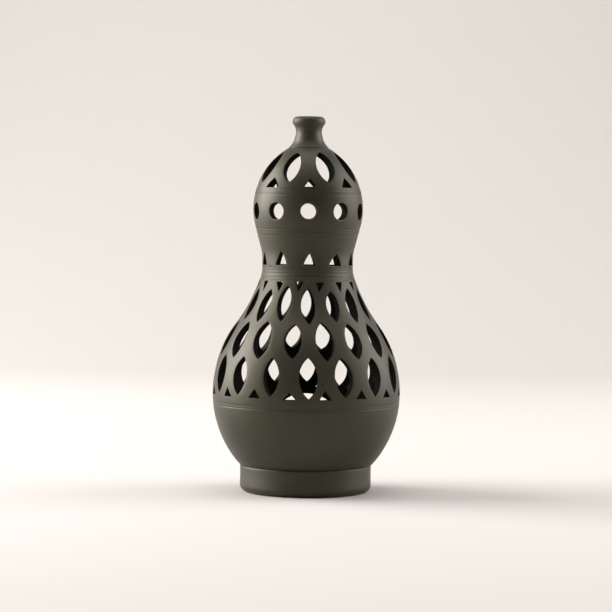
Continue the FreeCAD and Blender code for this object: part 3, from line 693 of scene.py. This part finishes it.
HOLE_LOW, HOLE_HIGH = 213.6, 233.4
HOLE_LEVEL = 224.3
HOLE_DIAMETER = 13.8
FRONT_HOLE = 12.8
band = new_sheet()
for number in range(CUP_ROW):
    front = number * CUP_STEP
    left, right = front - CUP_STEP / 2, front + CUP_STEP / 2
    border = along(((front, HOLE_LOW), (right, HOLE_LOW), 4),
                   ((right, HOLE_LOW), (right, HOLE_HIGH), 8),
                   ((right, HOLE_HIGH), (front, HOLE_HIGH), 4),
                   ((front, HOLE_HIGH), (left, HOLE_HIGH), 4),
                   ((left, HOLE_HIGH), (left, HOLE_LOW), 8),
                   ((left, HOLE_LOW), (front, HOLE_LOW), 4))
    hole = []
    radius = (HOLE_DIAMETER if number else FRONT_HOLE) / 2
    for step in range(len(border)):
        turn = 2 * pi * step / len(border)
        level = HOLE_LEVEL - radius * cos(turn)
        across = radius * sin(turn)
        hole.append(Vector((front + 0.5 + degrees(across / BULB_RADIUS), level, 0)))
    cell(band, border, hole, 4)
    panel(band, (left, CUP_TOP), (right, HOLE_LOW), 8, 14)
    panel(band, (left, HOLE_HIGH), (right, BAND_TOP), 8, 14)
raise_wall("band", band, "round_hole_band")

# ------------------------------------------------------------------ petal dome
# The crown of the small bulb: eight small triangles, and eight tall petals between them.

DOME_ROW = 8
DOME_STEP = 360 / DOME_ROW
PETAL_FOOT = 241.4
PETAL_WEB = 254.0
PETAL_SPREAD = 16.0
WEDGE_CUTS = {0: (-4.5, 8.5, 243.5, 2, 250), 1: (-5.5, 12, 243, 2.5, 251),
              7: (-9, 11, 243, 1.5, 251)}
PETAL_CUTS = {0: (1.5, 247, 1, 271, 7.5, 7.5), 7: (0, 247, 0, 271, 7, 6.5)}
dome = new_sheet()
for number in range(DOME_ROW):
    front = number * DOME_STEP
    right = front + DOME_STEP / 2
    far = front + DOME_STEP
    wedge = WEDGE_CUTS.get(number, (-7.5, 8.5, 243, 1, 250.5))
    petal = PETAL_CUTS.get(number, (1, 247, 1, 271.5, 7.5, 7.5))
    cell(dome,
         along(((front, PETAL_FOOT), (front + PETAL_SPREAD, PETAL_FOOT), 3),
               ((front + PETAL_SPREAD, PETAL_FOOT), (front, PETAL_WEB), 5),
               ((front, PETAL_WEB), (front - PETAL_SPREAD, PETAL_FOOT), 5),
               ((front - PETAL_SPREAD, PETAL_FOOT), (front, PETAL_FOOT), 3)),
         triangle(front, freehand(wedge, 0.2, 0.2, 0.1, 0.2, 0.2), 3, 5, 0.1))
    cell(dome,
         along(((right, PETAL_FOOT), (far - PETAL_SPREAD, PETAL_FOOT), 3),
               ((far - PETAL_SPREAD, PETAL_FOOT), (far, PETAL_WEB), 5),
               ((far, PETAL_WEB), (far, DOME_TOP), 8),
               ((far, DOME_TOP), (right, DOME_TOP), 4),
               ((right, DOME_TOP), (front, DOME_TOP), 4),
               ((front, DOME_TOP), (front, PETAL_WEB), 8),
               ((front, PETAL_WEB), (front + PETAL_SPREAD, PETAL_FOOT), 5),
               ((front + PETAL_SPREAD, PETAL_FOOT), (right, PETAL_FOOT), 3)),
         leaf(right, freehand(petal, 0.4, 0.2, 0.4, 0.2, 0.2, 0.2), 20))
    for start, end, columns in ((front - PETAL_SPREAD, front + PETAL_SPREAD, 6),
                                (front + PETAL_SPREAD, far - PETAL_SPREAD, 6)):
        panel(dome, (start, BAND_TOP), (end, PETAL_FOOT), columns, 6)
raise_wall("dome", dome, "petal_dome")

# ------------------------------------------------------------------ neck and lip
# The neck is drawn in from the dome's crown, and a last coil on top of it is turned outwards
# and rolled into the lip. Both are burnished with the wheel running.

LIP_LOW = level_of("lip_ring", 0)
LIP_TOP = level_of("lip_ring", 1)
BORE = 6.2
NECK_RADIUS, NECK_LEVEL, NECK_TAPER = 10.3, 287.6, 283.5
NECK_SWEEP = 1.7
LIP_ROUND = 4.0
LIP_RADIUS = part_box("lip_ring")[1][0] / MM
LIP_R, LIP_Z = LIP_RADIUS - LIP_ROUND, LIP_TOP - LIP_ROUND
NECK_ARC = ((NECK_RADIUS - LIP_R) ** 2 + (LIP_Z - NECK_LEVEL) ** 2 - LIP_ROUND ** 2) / (
    2 * (LIP_ROUND - NECK_RADIUS + LIP_R))


def neck_radius(level):
    """Outside of the neck and of the hollow under the lip."""
    if level < NECK_TAPER:
        share = (level - DOME_TOP) / (NECK_TAPER - DOME_TOP)
        narrowing = outline(DOME_TOP)[0] - neck_radius(NECK_TAPER)
        return neck_radius(NECK_TAPER) + narrowing * (1 - share) ** NECK_SWEEP
    return NECK_RADIUS + NECK_ARC - sqrt(NECK_ARC ** 2 - (level - NECK_LEVEL) ** 2)


neck_outside = [(neck_radius(DOME_TOP + step), DOME_TOP + step) for step in range(17)]
turn_section("neck_wall", neck_outside + [(BORE, LIP_LOW), (BORE, DOME_TOP)], "neck",
             [BURNISHED],
             ((neck_outside[0][0], DOME_TOP, 0.3, 2), (neck_outside[-1][0], LIP_LOW, 0.2, 2)))

roll_low = asin((NECK_LEVEL - LIP_Z) / (NECK_ARC + LIP_ROUND))
lip_outside = [(neck_radius(LIP_LOW + step * 0.5), LIP_LOW + step * 0.5) for step in range(5)]
lip_roll = [(LIP_R + LIP_ROUND * cos(turn), LIP_Z + LIP_ROUND * sin(turn))
            for turn in (roll_low + (pi / 2 - roll_low) * step / 14 for step in range(15))]
MOUTH_ROUND = LIP_R - BORE
lip_mouth = [(LIP_R - MOUTH_ROUND * sin(turn), LIP_TOP - MOUTH_ROUND + MOUTH_ROUND * cos(turn))
             for turn in (pi / 2 * step / 8 for step in range(1, 9))]
turn_section("lip", lip_outside + lip_roll + lip_mouth + [(BORE, LIP_LOW)], "lip_ring",
             [BURNISHED], ((lip_outside[0][0], LIP_LOW, 0.2, 2),))

# ------------------------------------------------------------------ studio
# A pale paper sweep that curves up behind the vessel. A large soft light on the left, a weaker
# one on the right, one overhead, one that lights the paper behind, and a little from all round.

SWEEP_WIDE = 9.0
SWEEP_FRONT = -3.2
SWEEP_BACK = 2.6
SWEEP_CURVE = 1.2
SWEEP_LONG = 10.0
PAPER = (0.585, 0.562, 0.545, 1)
ROOM_LIGHT, ROOM_STRENGTH = (1, 0.99, 0.98, 1), 0.20
LAMP_LIGHT = (1, 0.975, 0.94)

sweep_bm = bmesh.new()
bmesh.ops.create_grid(sweep_bm, x_segments=8, y_segments=160, size=1)
for vert in sweep_bm.verts:
    run = (vert.co.y + 1) / 2 * SWEEP_LONG + SWEEP_FRONT
    past = run - (SWEEP_BACK - SWEEP_CURVE)
    bend = min(max(past / SWEEP_CURVE, 0), pi / 2)
    climb = max(past - SWEEP_CURVE * pi / 2, 0)
    vert.co = (vert.co.x * SWEEP_WIDE / 2,
               min(run, SWEEP_BACK - SWEEP_CURVE) + SWEEP_CURVE * sin(bend),
               SWEEP_CURVE * (1 - cos(bend)) + climb)
sweep_mesh = bpy.data.meshes.new("sweep")
for face in sweep_bm.faces:
    face.smooth = True
sweep_bm.to_mesh(sweep_mesh)
sweep_bm.free()
floor = bpy.data.objects.new("sweep", sweep_mesh)
bpy.context.scene.collection.objects.link(floor)
paper = bpy.data.materials.new("paper")
paper.use_nodes = True
paper_finish = paper.node_tree.nodes["Principled BSDF"].inputs
paper_finish["Base Color"].default_value = PAPER
paper_finish["Roughness"].default_value = 0.9
paper_finish["Specular IOR Level"].default_value = 0.1
sweep_mesh.materials.append(paper)

world = bpy.data.worlds.new("studio")
bpy.context.scene.world = world
world.use_nodes = True
room = world.node_tree.nodes["Background"].inputs
room["Color"].default_value = ROOM_LIGHT
room["Strength"].default_value = ROOM_STRENGTH


def soft_light(name, place, aim, wide, watts):
    """A square soft box at a place, turned to face its aim."""
    lamp = bpy.data.lights.new(name, "AREA")
    lamp.shape = "SQUARE"
    lamp.size = wide
    lamp.energy = watts
    lamp.color = LAMP_LIGHT
    light = bpy.data.objects.new(name, lamp)
    bpy.context.scene.collection.objects.link(light)
    place = Vector(place)
    facing = (Vector(aim) - place).to_track_quat("-Z", "Y").to_matrix().to_4x4()
    light.matrix_world = Matrix.Translation(place) @ facing


soft_light("left_light", (-1.8, 0.35, 0.9), (0, 0, 0.2), 1.7, 92)
soft_light("right_light", (1.8, 0.35, 0.9), (0, 0, 0.2), 1.7, 40)
soft_light("top_light", (0, -0.5, 3.6), (0, -0.1, 0), 3.4, 36)
soft_light("wall_light", (0, 0.8, 3.4), (0, 2.4, 1.0), 2.5, 34)

# ------------------------------------------------------------------ camera
# A long lens a little above the waist, looking very slightly down and a hair rolled.

CAMERA_BACK = 1.807
CAMERA_HEIGHT = 0.215
CAMERA_ASIDE = -0.0009
LENS_MM = 132.7
LOOK_DOWN = radians(2.104)
ROLL = radians(0.6)

camera_data = bpy.data.cameras.new("camera")
camera_data.lens = LENS_MM
camera_data.clip_end = 30
camera = bpy.data.objects.new("camera", camera_data)
bpy.context.scene.collection.objects.link(camera)
bpy.context.scene.camera = camera
camera.matrix_world = (Matrix.Translation((CAMERA_ASIDE, -CAMERA_BACK, CAMERA_HEIGHT))
                       @ Matrix.Rotation(pi / 2 - LOOK_DOWN, 4, "X")
                       @ Matrix.Rotation(ROLL, 4, "Z"))

bpy.context.scene.view_settings.view_transform = "Standard"
